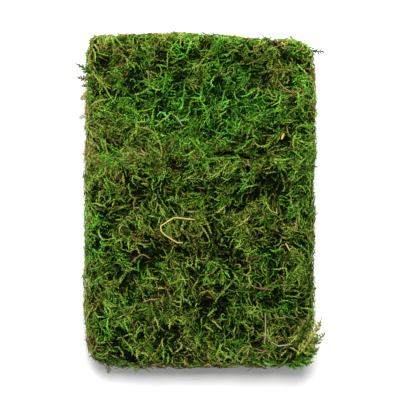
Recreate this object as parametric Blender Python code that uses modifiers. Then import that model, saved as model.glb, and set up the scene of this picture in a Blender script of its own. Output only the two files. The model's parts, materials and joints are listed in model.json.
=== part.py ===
"""A pressed brick of preserved sheet moss, lying flat on its underside.

Units are metres, +Z up. The origin is at the middle of the flat underside, +Y runs along the length
towards the end that the upper mat covers, and +X runs across.

Two mats make the block. The lower mat runs its whole length and steps down to a shelf at the far end.
The upper mat lies on that shelf and ends in a ragged edge, which leaves a dark crevice across the block.
Dry straws, roots, bark and a needle that came up with the moss lie loose on top.
"""

import math

import bmesh
import bpy
from mathutils import Vector, noise
from mathutils.bvhtree import BVHTree

# ---- Driving dimensions ----
BLOCK_WIDTH = 0.186
BLOCK_LENGTH = 0.270
FOOT_HEIGHT = 0.046  # top of the lower mat, in front of the crevice
SHELF_HEIGHT = 0.028  # top of the lower mat, under the upper one
HEAD_HEIGHT = 0.0505  # top of the upper mat
LAYER_GAP = 0.0004  # between pieces that rest on each other

# ---- Outline ----
# How far each corner of the cage is drawn in, by its side of the block: (left or right, near or far).
CORNER_PULLS = {(-1, -1): 0.0065, (1, -1): 0.0, (-1, 1): 0.0, (1, 1): 0.0060}
RIM_INSET = 0.0035  # how far the top and bottom rims stand in from the fullest part of a side
EDGE_WANDER = 0.0024  # how far the trimmed edges stray from straight
BLOCK_LEAN = 0.0026  # how much further right the far end stands than the near end
FAR_EDGE_STEP = 0.0035  # how much further the far edge reaches on the left than on the right
FAR_STEP_START = -0.007  # x where that step starts
FAR_STEP_WIDTH = 0.035
SHELF_SHARE = 0.62  # how far up a full side the shelf's rim counts as standing
UPPER_SHARE = 0.45  # how far up a full side the upper mat starts

# ---- Crevice ----
SEAM_Y = 0.0262  # where it would cross the middle if it had no hump
SEAM_SLANT = -0.020  # rise towards the right, a metre
SEAM_RISE = 0.0117  # how much nearer the far end it runs at its peak
SEAM_PEAK_X = 0.022
SEAM_PEAK_WIDTH = 0.048
SEAM_WAVER = 0.0015
SEAM_WAVES = 95.0  # radians a metre
CREVICE_TOP = 0.0055  # width of the crevice at the surface
CREVICE_FOOT = 0.0030  # width at the shelf
EDGE_LOOP = 0.0045  # distance of the cage row that keeps the crevice's edges tight

# ---- Surface relief ----
LUMP_HEIGHT = 0.0065
LUMP_SPACING = 0.042
HOLLOW_CENTRES = ((0.060, 0.006), (-0.055, 0.016), (0.022, -0.112))
HOLLOW_DEPTH = 0.0042
HOLLOW_RADIUS = 0.022
LOWER_SEED = 3.0  # slice of the noise that shapes the lower mat
UPPER_SEED = 8.0

# ---- Cages: how many cells each way ----
CELLS_ACROSS = 10
FOOT_CELLS = 8
SHELF_CELLS = 5
LOWER_CELLS_UP = 3
UPPER_CELLS_UP = 2

# ---- Debris ----
SAMPLE_STEP = 0.0022  # spacing of the points along a straw
SPAN = 2  # how many points each way a straw bridges over
RIM_DROP = 0.006  # a point this far below a straw's highest one is past the rim
TAPER_END = 0.55  # radius of a straw's ends, as a share of its middle
STRAW_SIDES_RESOLUTION = 1
RAY_HEIGHT = 0.2
STEEPEST_REST = 0.6  # upward share of the normal, under which a strand runs straight on past the rim
SUPPLE = 0.35  # pull of a route's curve at its points: soft bends
BRITTLE = 0.10  # sharp kinks
FLAKE_NARROWING = 0.65  # share of a flake's width that is gone at its ends
FLAKE_BEVEL = 0.3  # share of its thickness

COLOURS = {  # name: (base colour, roughness)
    "moss_olive": ((0.110, 0.145, 0.022), 0.75),
    "moss_green": ((0.075, 0.175, 0.020), 0.72),
    "straw": ((0.640, 0.450, 0.170), 0.50),
    "pale_stem": ((0.420, 0.370, 0.230), 0.60),
    "root": ((0.300, 0.165, 0.090), 0.65),
    "bark": ((0.230, 0.115, 0.055), 0.80),
    "needle": ((0.055, 0.045, 0.035), 0.55),
    "dry_leaf": ((0.520, 0.330, 0.060), 0.60),
}

# Each strand is (radius at its middle, how it bends, material, its route over the top of the moss).
STRANDS = {
    "bent_straw": (
        0.00058,
        BRITTLE,
        "straw",
        (
            (-0.0039, -0.0156),
            (-0.0203, -0.0139),
            (-0.0313, -0.0208),
            (-0.0307, -0.0251),
            (-0.0267, -0.0287),
            (-0.0182, -0.0339),
            (-0.0136, -0.0342),
        ),
    ),
    "curved_root": (0.00042, SUPPLE, "root", ((-0.0543, -0.0495), (-0.0463, -0.0435), (-0.0399, -0.0464))),
    "pale_stem": (0.00044, SUPPLE, "pale_stem", ((0.0523, -0.0898), (0.0527, -0.1018), (0.0519, -0.1148))),
    "grey_stem": (0.00040, SUPPLE, "pale_stem", ((-0.0204, 0.0676), (-0.0170, 0.0640), (-0.0140, 0.0594))),
    "brown_stem": (0.00042, SUPPLE, "root", ((-0.0414, 0.1036), (-0.0410, 0.0980), (-0.0403, 0.0926))),
    "brown_twig": (0.00062, BRITTLE, "bark", ((0.0434, -0.0694), (0.0498, -0.0709), (0.0583, -0.0714))),
    "red_twig": (0.00046, SUPPLE, "root", ((0.0624, 0.0956), (0.0669, 0.0898), (0.0735, 0.0859))),
    "forked_root": (
        0.00046,
        SUPPLE,
        "root",
        ((0.0309, -0.1227), (0.0334, -0.1188), (0.0369, -0.1169), (0.0414, -0.1169)),
    ),
    "tan_root": (0.00042, SUPPLE, "pale_stem", ((0.0573, -0.1132), (0.0630, -0.1162), (0.0738, -0.1148))),
    "straw_scrap": (0.00052, BRITTLE, "straw", ((0.0685, -0.0343), (0.0703, -0.0374), (0.0720, -0.0407))),
    "dark_needle": (0.00040, BRITTLE, "needle", ((0.0464, 0.1345), (0.0525, 0.1295), (0.0590, 0.1245))),
}

# Each flake is (length, width, thickness, material, its place on the moss, its turn in degrees).
FLAKES = {
    "bark_chip": (0.0056, 0.0018, 0.0010, "bark", (0.0396, -0.0681), 84.0),
    "leaf_scrap": (0.0056, 0.0017, 0.0006, "dry_leaf", (0.0662, 0.0509), 67.0),
}


def clear_scene():
    """Removes whatever the scene holds."""
    for obj in list(bpy.data.objects):
        bpy.data.objects.remove(obj, do_unlink=True)


def new_collection(name):
    """A collection for the object's parts, linked to the scene."""
    made = bpy.data.collections.new(name)
    bpy.context.scene.collection.children.link(made)
    return made


def make_materials():
    """One Principled material for each colour."""
    made = {}
    for name, (colour, roughness) in COLOURS.items():
        material = bpy.data.materials.new(name)
        material.use_nodes = True
        shader = material.node_tree.nodes["Principled BSDF"]
        shader.inputs["Base Color"].default_value = (*colour, 1.0)
        shader.inputs["Roughness"].default_value = roughness
        shader.inputs["Metallic"].default_value = 0.0
        made[name] = material
    return made


def seam(x):
    """Y of the crevice at this x: a low hump on a slight slant across the block, with a waver."""
    hump = SEAM_RISE * math.exp(-(((x - SEAM_PEAK_X) / SEAM_PEAK_WIDTH) ** 2))
    return SEAM_Y + SEAM_SLANT * x + hump + SEAM_WAVER * math.sin(x * SEAM_WAVES)


def relief(x, y, seed):
    """Height of the lumps and hollows of the moss at this place."""
    spot = Vector((x / LUMP_SPACING, y / LUMP_SPACING, seed))
    height = LUMP_HEIGHT * noise.noise(spot)
    for hollow_x, hollow_y in HOLLOW_CENTRES:
        far = ((x - hollow_x) ** 2 + (y - hollow_y) ** 2) / HOLLOW_RADIUS**2
        height -= HOLLOW_DEPTH * math.exp(-far)
    return height


def far_edge(x):
    """Y of the far end at this x, which steps back across the middle."""
    share = min(1.0, max(0.0, (x - FAR_STEP_START) / FAR_STEP_WIDTH))
    return BLOCK_LENGTH / 2.0 - FAR_EDGE_STEP * share * share * (3.0 - 2.0 * share)


def trimmed(u, v, up, seed):
    """Offset of the outline at a cage point: corners drawn in, rims drawn in, trimmed edges that wander."""
    corner = CORNER_PULLS[1 if u > 0 else -1, 1 if v > 0 else -1] * (u * v) ** 6
    rim = RIM_INSET * (2.0 * up - 1.0) ** 2
    wander_x = EDGE_WANDER * noise.noise(Vector((v * 4.0, up * 1.5, seed + 5.0)))
    wander_y = EDGE_WANDER * noise.noise(Vector((u * 3.0, up * 1.5, seed + 9.0)))
    x = -u * (corner + rim * abs(u) ** 7) + wander_x * u**6 + BLOCK_LEAN * v / 2.0
    y = -v * (corner + rim * abs(v) ** 7) + wander_y * v**6
    return x, y


def grid_box(name, cells, collection, material):
    """A cube of side 2 cut into a grid of cells, for a mat's cage, smoothed by Subdivision Surface."""
    bpy.ops.mesh.primitive_cube_add(size=2.0)
    obj = bpy.context.object
    obj.name = name
    obj.data.name = name
    work = bmesh.new()
    work.from_mesh(obj.data)
    for axis, count in enumerate(cells):
        along = [e for e in work.edges if abs((e.verts[1].co - e.verts[0].co)[axis]) > 1e-6]
        bmesh.ops.subdivide_edges(work, edges=along, cuts=count - 1, use_grid_fill=True)
    work.to_mesh(obj.data)
    work.free()
    for owner in list(obj.users_collection):
        owner.objects.unlink(obj)
    collection.objects.link(obj)
    obj.data.materials.append(material)
    smooth = obj.modifiers.new("soft_form", "SUBSURF")
    smooth.levels = 1
    smooth.render_levels = 1
    obj.data.shade_smooth()
    return obj


def foot_rows(x):
    """Y of each cage row from the near end to the lip of the crevice."""
    near = -BLOCK_LENGTH / 2.0
    lip = seam(x) - CREVICE_TOP / 2.0
    return [near + (lip - near) * k / FOOT_CELLS for k in range(FOOT_CELLS)] + [lip - EDGE_LOOP, lip]


def shelf_rows(start, x):
    """Y of each cage row from this start, at the crevice, to the far end."""
    depth = far_edge(x) - start
    return [start, start + EDGE_LOOP] + [start + depth * (k + 1) / SHELF_CELLS for k in range(SHELF_CELLS)]


def row_at(rows, v):
    """The row that a cage point at v, from -1 to 1, stands on: its index and its y."""
    index = round((v + 1.0) / 2.0 * (len(rows) - 1))
    return index, rows[index]


def lower_mat(collection, material):
    """The full-length mat, with the shelf that carries the upper mat."""
    cells = (CELLS_ACROSS, FOOT_CELLS + SHELF_CELLS + 3, LOWER_CELLS_UP)
    obj = grid_box("lower_mat", cells, collection, material)
    for vertex in obj.data.vertices:
        u, v, w = vertex.co
        up = (w + 1.0) / 2.0
        x = u * BLOCK_WIDTH / 2.0
        before = foot_rows(x)
        row, y = row_at(before + shelf_rows(seam(x) - CREVICE_FOOT / 2.0, x), v)
        on_shelf = row >= len(before)
        top = SHELF_HEIGHT if on_shelf else FOOT_HEIGHT + relief(x, y, LOWER_SEED)
        side_share = up * (SHELF_SHARE if on_shelf else 1.0)
        inset_x, inset_y = trimmed(u, 2.0 * y / BLOCK_LENGTH, side_share, LOWER_SEED)
        vertex.co = (x + inset_x, y + inset_y, top * up)
    return obj


def upper_mat(collection, material):
    """The shorter mat on the shelf. Its near edge follows the crevice and leans back from it."""
    cells = (CELLS_ACROSS, SHELF_CELLS + 1, UPPER_CELLS_UP)
    obj = grid_box("upper_mat", cells, collection, material)
    base = SHELF_HEIGHT + LAYER_GAP
    for vertex in obj.data.vertices:
        u, v, w = vertex.co
        up = (w + 1.0) / 2.0
        x = u * BLOCK_WIDTH / 2.0
        near = seam(x) + CREVICE_FOOT / 2.0 + (CREVICE_TOP - CREVICE_FOOT) / 2.0 * up
        _, y = row_at(shelf_rows(near, x), v)
        side_share = UPPER_SHARE + (1.0 - UPPER_SHARE) * up
        inset_x, inset_y = trimmed(u, 2.0 * y / BLOCK_LENGTH, side_share, UPPER_SEED)
        top = HEAD_HEIGHT + relief(x, y, UPPER_SEED)
        vertex.co = (x + inset_x, y + inset_y, base + (top - base) * up)
    return obj


def surface_of(mats):
    """The outside of the mats as they are evaluated, for laying things on them."""
    bpy.context.view_layer.update()
    graph = bpy.context.evaluated_depsgraph_get()
    return [BVHTree.FromObject(mat, graph) for mat in mats]


def resting_point(trees, x, y, stand_off):
    """A point this far out from the top of the moss at (x, y), along its normal, or None past its rim."""
    best = None
    for tree in trees:
        place, normal, _, _ = tree.ray_cast(Vector((x, y, RAY_HEIGHT)), Vector((0.0, 0.0, -1.0)))
        if place is not None and (best is None or place.z > best[0].z):
            best = (place, normal)
    if best is None or best[1].z < STEEPEST_REST:
        return None
    place, normal = best
    return place + normal * stand_off, normal


def sampled(route, pull):
    """Points along the route, SAMPLE_STEP apart, on a cubic curve through its own points."""
    ends = [Vector(p) for p in route]
    whole = [ends[0] * 2.0 - ends[1], *ends, ends[-1] * 2.0 - ends[-2]]
    points = []
    for i in range(1, len(whole) - 2):
        before, a, b, after = whole[i - 1 : i + 3]
        count = max(2, math.ceil((b - a).length / SAMPLE_STEP))
        for k in range(count):
            t = k / count
            start, finish = (b - before) * pull, (after - a) * pull
            points.append(
                a * (2 * t**3 - 3 * t**2 + 1)
                + start * (t**3 - 2 * t**2 + t)
                + b * (3 * t**2 - 2 * t**3)
                + finish * (t**3 - t**2)
            )
    return [*points, ends[-1]]


def laid_on_moss(way, stand_off, trees):
    """The points of a way laid on the moss. Past the rim it goes on at the height of the first one on it."""
    found = [resting_point(trees, p.x, p.y, stand_off) for p in way]
    lowest = max(f[0].z for f in found if f) - RIM_DROP
    rested = [f[0] if f and f[0].z > lowest else None for f in found]
    first = next(p for p in rested if p is not None)
    heights = [first.z if p is None else p.z for p in rested]
    spots = []
    for i, (spot, place) in enumerate(zip(rested, way)):
        flat = place if spot is None else spot
        spots.append(Vector((flat.x, flat.y, max(heights[max(0, i - SPAN) : i + SPAN + 1]))))
    return spots


def strand(name, radius, pull, route, trees, collection, material):
    """A straw, stem, root or twig as a tapered tube lying on the moss."""
    spots = laid_on_moss(sampled(route, pull), radius + LAYER_GAP, trees)
    last = len(spots) - 1
    curve = bpy.data.curves.new(name, "CURVE")
    curve.dimensions = "3D"
    curve.bevel_depth = radius
    curve.bevel_resolution = STRAW_SIDES_RESOLUTION
    curve.use_fill_caps = True
    spline = curve.splines.new("POLY")
    spline.points.add(last)
    for i, spot in enumerate(spots):
        spline.points[i].co = (*spot, 1.0)
        from_end = min(i, last - i) / (last / 2.0)
        spline.points[i].radius = TAPER_END + (1.0 - TAPER_END) * math.sqrt(from_end)
    curve.materials.append(material)
    obj = bpy.data.objects.new(name, curve)
    collection.objects.link(obj)
    return obj


def flake(name, size, spot, turn, trees, collection, material):
    """A chip of bark or leaf: a thin bevelled slab that narrows to both ends, laid flat on the moss."""
    length, width, thickness = size
    place, normal = resting_point(trees, *spot, thickness / 2.0 + 2.0 * LAYER_GAP)
    bpy.ops.mesh.primitive_cube_add(size=1.0)
    obj = bpy.context.object
    obj.name = name
    obj.data.name = name
    for vertex in obj.data.vertices:
        vertex.co.x *= length
        vertex.co.y *= width
        vertex.co.z *= thickness
    work = bmesh.new()
    work.from_mesh(obj.data)
    lengthwise = [e for e in work.edges if abs((e.verts[1].co - e.verts[0].co).x) > thickness]
    bmesh.ops.subdivide_edges(work, edges=lengthwise, cuts=3, use_grid_fill=True)
    for vertex in work.verts:
        along = abs(vertex.co.x) / (length / 2.0)
        vertex.co.y *= 1.0 - FLAKE_NARROWING * along**2
    work.to_mesh(obj.data)
    work.free()
    edge = obj.modifiers.new("worn_edge", "BEVEL")
    edge.width = thickness * FLAKE_BEVEL
    edge.segments = 1
    for owner in list(obj.users_collection):
        owner.objects.unlink(obj)
    collection.objects.link(obj)
    obj.data.materials.append(material)
    obj.location = place
    obj.rotation_mode = "QUATERNION"
    flat = Vector((0.0, 0.0, 1.0)).rotation_difference(normal)
    obj.rotation_quaternion = flat @ Vector((1.0, 0.0, 0.0)).rotation_difference(
        Vector((math.cos(math.radians(turn)), math.sin(math.radians(turn)), 0.0))
    )
    return obj


def centre_on_origin(parts):
    """Moves every part by the same small step, so that the origin is under the middle of the whole box."""
    bpy.context.view_layer.update()
    graph = bpy.context.evaluated_depsgraph_get()
    points = []
    for part in parts:
        evaluated = part.evaluated_get(graph)
        mesh = evaluated.to_mesh()
        points += [evaluated.matrix_world @ v.co for v in mesh.vertices]
        evaluated.to_mesh_clear()
    low = [min(p[axis] for p in points) for axis in range(3)]
    high = [max(p[axis] for p in points) for axis in range(3)]
    step = Vector(((low[0] + high[0]) / 2.0, (low[1] + high[1]) / 2.0, low[2]))
    for part in parts:
        part.location -= step


def main():
    """Builds the mats, then lays the debris on them."""
    clear_scene()
    collection = new_collection("moss_brick")
    materials = make_materials()
    mats = [
        lower_mat(collection, materials["moss_olive"]),
        upper_mat(collection, materials["moss_green"]),
    ]
    trees = surface_of(mats)
    for name, (radius, pull, finish, route) in STRANDS.items():
        strand(name, radius, pull, route, trees, collection, materials[finish])
    for name, (length, width, thickness, finish, spot, turn) in FLAKES.items():
        flake(name, (length, width, thickness), spot, turn, trees, collection, materials[finish])
    centre_on_origin(list(collection.objects))


main()
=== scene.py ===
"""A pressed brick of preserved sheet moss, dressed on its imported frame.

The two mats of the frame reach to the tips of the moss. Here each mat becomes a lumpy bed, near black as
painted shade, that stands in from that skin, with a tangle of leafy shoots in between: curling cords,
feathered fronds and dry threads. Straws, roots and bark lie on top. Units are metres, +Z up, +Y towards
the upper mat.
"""

import itertools
import json
import logging
import math
from dataclasses import dataclass, field
from enum import Enum

import bpy
import numpy as np
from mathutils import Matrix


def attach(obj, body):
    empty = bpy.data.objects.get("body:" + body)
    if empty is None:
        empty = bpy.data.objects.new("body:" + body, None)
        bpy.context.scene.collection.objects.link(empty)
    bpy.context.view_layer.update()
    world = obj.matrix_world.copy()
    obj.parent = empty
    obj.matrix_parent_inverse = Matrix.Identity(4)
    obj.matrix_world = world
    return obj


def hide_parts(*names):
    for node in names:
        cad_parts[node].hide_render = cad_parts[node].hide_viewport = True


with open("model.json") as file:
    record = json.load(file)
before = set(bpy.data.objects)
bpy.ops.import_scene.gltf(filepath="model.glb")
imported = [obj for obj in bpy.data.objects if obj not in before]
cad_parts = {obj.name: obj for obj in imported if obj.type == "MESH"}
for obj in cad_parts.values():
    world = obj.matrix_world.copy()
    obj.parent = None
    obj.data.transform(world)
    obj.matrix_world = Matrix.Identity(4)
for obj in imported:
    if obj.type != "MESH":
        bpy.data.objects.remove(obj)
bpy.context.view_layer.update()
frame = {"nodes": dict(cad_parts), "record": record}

log = logging.getLogger("moss_brick")

Array = np.ndarray
Random = np.random.Generator
Piece = bpy.types.Object
Material = bpy.types.Material
Colour = tuple[float, float, float]
Stops = tuple[tuple[float, Colour], ...]  # a place from 0 to 1, and its colour
UP = np.array([0.0, 0.0, 1.0])
GOLDEN = 0.6180339887  # steps of this share of a whole never bunch up
FACES_UP = 0.45  # a skin whose normal points up more than this is the top
FACES_DOWN = -0.7  # and one whose normal points up less than this is the underside
LIFT = 0.8  # how far leaves on a flank turn their broad side up
LIFT_FROM = -0.5  # leaves on the skin that faces down more than this stay as they are
LEAN_STEPS = 2.5  # steps in which a shoot makes up for being too deep or too high
STEEPEST = 0.8  # the steepest that a shoot leans to do so
FLOOR_GAP = 0.0003  # the lowest that any leaf lies above the floor
LEAF_GAP = 0.0002  # what keeps a leaf on the floor from being flat
# the light up the map holds the leaves' own paleness and the painted shade and highlight
MAP_NAME = "OFBake"  # the leaves' own UV map: across it the tone, up it the light


# ---- Arithmetic on arrays of vectors ----


def unit(vectors: Array) -> Array:
    """Each vector divided by its length.

    Args:
        vectors: Vectors along the last axis.

    Returns:
        Vectors of length one, in the same shape.
    """
    return vectors / np.maximum(np.linalg.norm(vectors, axis=-1, keepdims=True), 1e-9)


def dot(a: Array, b: Array) -> Array:
    """The sum of products along the last axis, kept as an axis of one."""
    return np.sum(a * b, axis=-1, keepdims=True)


def turned(vectors: Array, axes: Array, angles: Array) -> Array:
    """Vectors turned about unit axes: v cos a + (axis x v) sin a + axis (axis . v)(1 - cos a).

    Args:
        vectors: What is turned, vectors along the last axis.
        axes: Unit vectors to turn about, in the same shape.
        angles: Radians, one for each vector.

    Returns:
        The turned vectors.
    """
    cos, sin = np.cos(angles)[..., None], np.sin(angles)[..., None]
    return vectors * cos + np.cross(axes, vectors) * sin + axes * dot(axes, vectors) * (1.0 - cos)


def eased(values: Array, low: float, high: float) -> Array:
    """A smooth step from 0 at low to 1 at high: 3 t^2 - 2 t^3 of the clipped share t."""
    share = np.clip((values - low) / (high - low), 0.0, 1.0)
    return share * share * (3.0 - 2.0 * share)


@dataclass
class Lattice:
    """Numbers on the corners of a cubic lattice, blended between them.

    A reading is the sum of the eight corners round a point, each times the product of the point's shares
    along the three axes.
    """

    values: Array
    low: Array
    pitch: float
    wraps: bool = False

    def at(self, points: Array) -> Array:
        """Reads the lattice.

        Args:
            points: Places in metres, along the last axis.

        Returns:
            One row of blended channels for each place.
        """
        size = np.array(self.values.shape[:3])
        place = (points - self.low) / self.pitch
        if not self.wraps:
            place = np.clip(place, 0.0, size - 1.001)
        cell = np.floor(place).astype(int)
        part = place - cell
        total = np.zeros((*points.shape[:-1], self.values.shape[3]))
        for corner in itertools.product((0, 1), repeat=3):
            share = np.prod(np.where(corner, part, 1.0 - part), axis=-1)
            index = (cell + corner) % size
            total += share[..., None] * self.values[index[..., 0], index[..., 1], index[..., 2]]
        return total


def lumps(points: Array, size: float, seed: int) -> Array:
    """Value noise from -1 to 1: random numbers on a lattice that repeats, blended between its corners.

    Args:
        points: Places in metres, along the last axis.
        size: Spacing of the lattice in metres.
        seed: Which random numbers to use.

    Returns:
        One number for each place.
    """
    table = np.random.default_rng(seed).uniform(-1.0, 1.0, (17, 19, 13, 1))
    return Lattice(table, np.zeros(3), size, wraps=True).at(points)[..., 0]


# ---- The skin of a mat ----


class Side(Enum):
    """A share of a mat's skin, by the way it faces."""

    TOP = "top"
    FLANK = "flank"
    UNDER = "under"

    def holds(self, normals: Array) -> Array:
        """Whether each normal belongs to this side of the mat.

        Args:
            normals: The skin's normals, (places, 3).

        Returns:
            True or False for each.
        """
        upward = normals[:, 2]
        if self is Side.TOP:
            return upward > FACES_UP
        if self is Side.UNDER:
            return upward < FACES_DOWN
        return (upward <= FACES_UP) & (upward >= FACES_DOWN)


@dataclass
class Skin:
    """The outside of a body of moss as a field of signed distances, positive outside.

    The field is filled by flooding: each lattice place keeps the nearest of the skin samples that its
    neighbours know, asking as many cells away as the reaches say, far ones first. Close to the skin the
    distance is measured along the sample's normal, and further off straight to the sample.
    """

    places: Array
    normals: Array
    pitch: float = 0.0028
    margin: float = 0.014
    reaches: tuple[int, ...] = (8, 4, 2, 1, 1)

    def __post_init__(self) -> None:
        """Floods the field and takes its slopes."""
        low = self.places.min(0) - self.margin
        shape = np.ceil((self.places.max(0) + self.margin - low) / self.pitch).astype(int) + 1
        grid = low + self.pitch * np.stack(np.meshgrid(*map(np.arange, shape), indexing="ij"), axis=-1)
        nearest = np.zeros(shape, int)
        home = np.rint((self.places - low) / self.pitch).astype(int)
        nearest[home[:, 0], home[:, 1], home[:, 2]] = np.arange(len(self.places))
        best = np.linalg.norm(grid - self.places[nearest], axis=-1)
        for reach in self.reaches:
            for offset in itertools.product((-reach, 0, reach), repeat=3):
                asked = np.roll(nearest, offset, axis=(0, 1, 2))
                far = np.linalg.norm(grid - self.places[asked], axis=-1)
                nearer = far < best
                nearest = np.where(nearer, asked, nearest)
                best = np.where(nearer, far, best)
        above = dot(grid - self.places[nearest], self.normals[nearest])[..., 0]
        signed = np.where(best < 2.0 * self.pitch, above, np.sign(above) * best)
        slopes = np.gradient(signed, self.pitch)
        self.field = Lattice(np.stack([signed, *slopes], axis=-1), low, self.pitch)

    def read(self, points: Array) -> tuple[Array, Array]:
        """Distance outside the skin, and the way straight out, at these places."""
        found = self.field.at(points)
        return found[..., 0], unit(found[..., 1:])


@dataclass
class Mat:
    """One mat of the frame: its triangles, their areas and normals, and its own skin."""

    node: str
    slot: str
    samples: int = 60000

    def __post_init__(self) -> None:
        """Reads the node's triangles."""
        mesh = frame["nodes"][self.node].data
        mesh.calc_loop_triangles()
        index = np.empty(len(mesh.loop_triangles) * 3, np.int32)
        mesh.loop_triangles.foreach_get("vertices", index)
        place = np.empty(len(mesh.vertices) * 3, np.float32)
        mesh.vertices.foreach_get("co", place)
        self.triangles = place.reshape(-1, 3)[index.reshape(-1, 3)].astype(float)
        edge_a = self.triangles[:, 1] - self.triangles[:, 0]
        edge_b = self.triangles[:, 2] - self.triangles[:, 0]
        across = np.cross(edge_a, edge_b)
        self.areas = np.linalg.norm(across, axis=1) / 2.0
        self.normals = unit(across)
        self.skin = Skin(*self.scatter(self.samples, np.random.default_rng(11), self.areas > 0.0))

    def scatter(self, count: int, rng: Random, wanted: Array) -> tuple[Array, Array]:
        """Places on the skin, evenly spread: equal steps along the running sum of area, each jittered.

        Args:
            count: How many.
            rng: Source of random numbers.
            wanted: Whether each triangle may hold any.

        Returns:
            The places and the outward normals there.
        """
        running = np.cumsum(self.areas * wanted)
        pick = np.searchsorted(running, running[-1] * (np.arange(count) + rng.random(count)) / count)
        a, b = rng.random((2, count, 1))
        past = a + b > 1.0
        a, b = np.where(past, 1.0 - a, a), np.where(past, 1.0 - b, b)
        first, second, third = np.moveaxis(self.triangles[pick], 1, 0)
        return first + a * (second - first) + b * (third - first), self.normals[pick]

    def seen(self, whole: Skin, depth: float = 0.010) -> Array:
        """Whether each triangle lies within a depth of the brick's skin, and so not between the mats."""
        return whole.read(self.middles())[0] > -depth

    def middles(self) -> Array:
        """The middle of each triangle."""
        return self.triangles.mean(1)


def whole_skin(lower: Mat, upper: Mat, gap: float = 0.0056) -> Skin:
    """The skin of both mats as one body: what lies near the other mat is left out.

    Args:
        lower: The lower mat.
        upper: The upper mat.
        gap: How near that is, in metres.

    Returns:
        The skin.
    """
    places, normals = [], []
    for mat, other in ((lower, upper), (upper, lower)):
        clear = other.skin.read(mat.skin.places)[0] > gap
        places.append(mat.skin.places[clear])
        normals.append(mat.skin.normals[clear])
    return Skin(np.concatenate(places), np.concatenate(normals))


@dataclass(frozen=True)
class Level:
    """A level sheet in the air, for shoots that stand out past the brick: distance is height above it."""

    height: float

    def read(self, points: Array) -> tuple[Array, Array]:
        """Height above the sheet, and the way up, at these places."""
        return points[..., 2] - self.height, np.broadcast_to(UP, points.shape)


# ---- Shoots ----


@dataclass
class Walk:
    """Centrelines of many shoots: places, ways forward and ways up, each (shoots, steps, 3)."""

    places: Array
    forward: Array
    up: Array
    step: Array

    def along(self) -> Array:
        """Share of the way from root to tip at each step."""
        return np.linspace(0.0, 1.0, self.places.shape[1])[None, :]


def creep(
    skin: Skin | Level, start: Array, heading: Array, step: Array, turns: Array, depths: Array
) -> Walk:
    """Shoots that creep along a mat's skin: each step turns about the normal, then leans to its own depth.

    Args:
        skin: The skin that the shoots follow.
        start: Roots, (shoots, 3).
        heading: Ways to set out, (shoots, 3).
        step: Metres a step, (shoots,).
        turns: Radians turned at each step, (shoots, steps).
        depths: Distance outside the skin to aim for at each step, (shoots, steps).

    Returns:
        The walk.
    """
    places, forwards, ups = [], [], []
    place, way = start, heading
    for k in range(turns.shape[1]):
        outside, normal = skin.read(place)
        flat = unit(way - normal * dot(way, normal))
        flat = turned(flat, normal, turns[:, k])
        lean = np.clip((depths[:, k] - outside) / (step * LEAN_STEPS), -STEEPEST, STEEPEST)
        way = unit(flat + normal * lean[:, None])
        places.append(place)
        forwards.append(way)
        raised = normal + UP * LIFT * (normal[:, 2:] > LIFT_FROM)
        ups.append(unit(raised - way * dot(raised, way)))
        place = place + way * step[:, None]
    return Walk(np.stack(places, 1), np.stack(forwards, 1), np.stack(ups, 1), step)


@dataclass(frozen=True)
class LeafPair:
    """Two opposite leaves as one closed body of four faces, shaped like an arrowhead with a keel.

    Its corners are the heel on the stem, the keel in front above it, and the left and right leaf tips,
    which are swept forward. One leaf of each pair is longer, left and right by turns.
    """

    reach: float = 1.9
    keel_at: float = 1.1
    keel_height: float = 0.75
    heel_depth: float = 0.15
    lopsided: float = 0.28
    unevenness: float = 0.14
    faces: tuple[tuple[int, int, int], ...] = ((0, 1, 2), (0, 3, 1), (0, 2, 3), (1, 3, 2))

    def corners(self, walk: Walk, half_width: Array, roll: Array, rng: Random) -> Array:
        """The four corners of each pair: heel, keel, left tip and right tip.

        Args:
            walk: The centrelines.
            half_width: Reach of a leaf to the side, (shoots, steps).
            roll: Turn of the pairs about the stem in radians, (shoots, steps).
            rng: Source of random numbers.

        Returns:
            Places, (shoots, steps, 4, 3).
        """
        shape = half_width.shape
        width = half_width[..., None]
        up = turned(walk.up, walk.forward, roll) * width
        left = np.cross(up, walk.forward)
        ahead = walk.forward * walk.step[:, None, None]
        swept = ahead * self.reach
        longer = self.lopsided * np.where(np.arange(shape[1]) % 2 == 0, 1.0, -1.0)[None, :, None]
        wobble = rng.normal(0.0, self.unevenness, (4, *shape, 1))
        heel = walk.places - up * self.heel_depth
        keel = walk.places + ahead * self.keel_at + up * (self.keel_height + wobble[0])
        tip_left = walk.places + swept * (1.0 + wobble[1]) + left * (1.0 + longer) + up * wobble[2]
        tip_right = walk.places + swept * (1.0 - wobble[1]) - left * (1.0 - longer) + up * wobble[3]
        return np.stack([heel, keel, tip_left, tip_right], axis=2)


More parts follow.
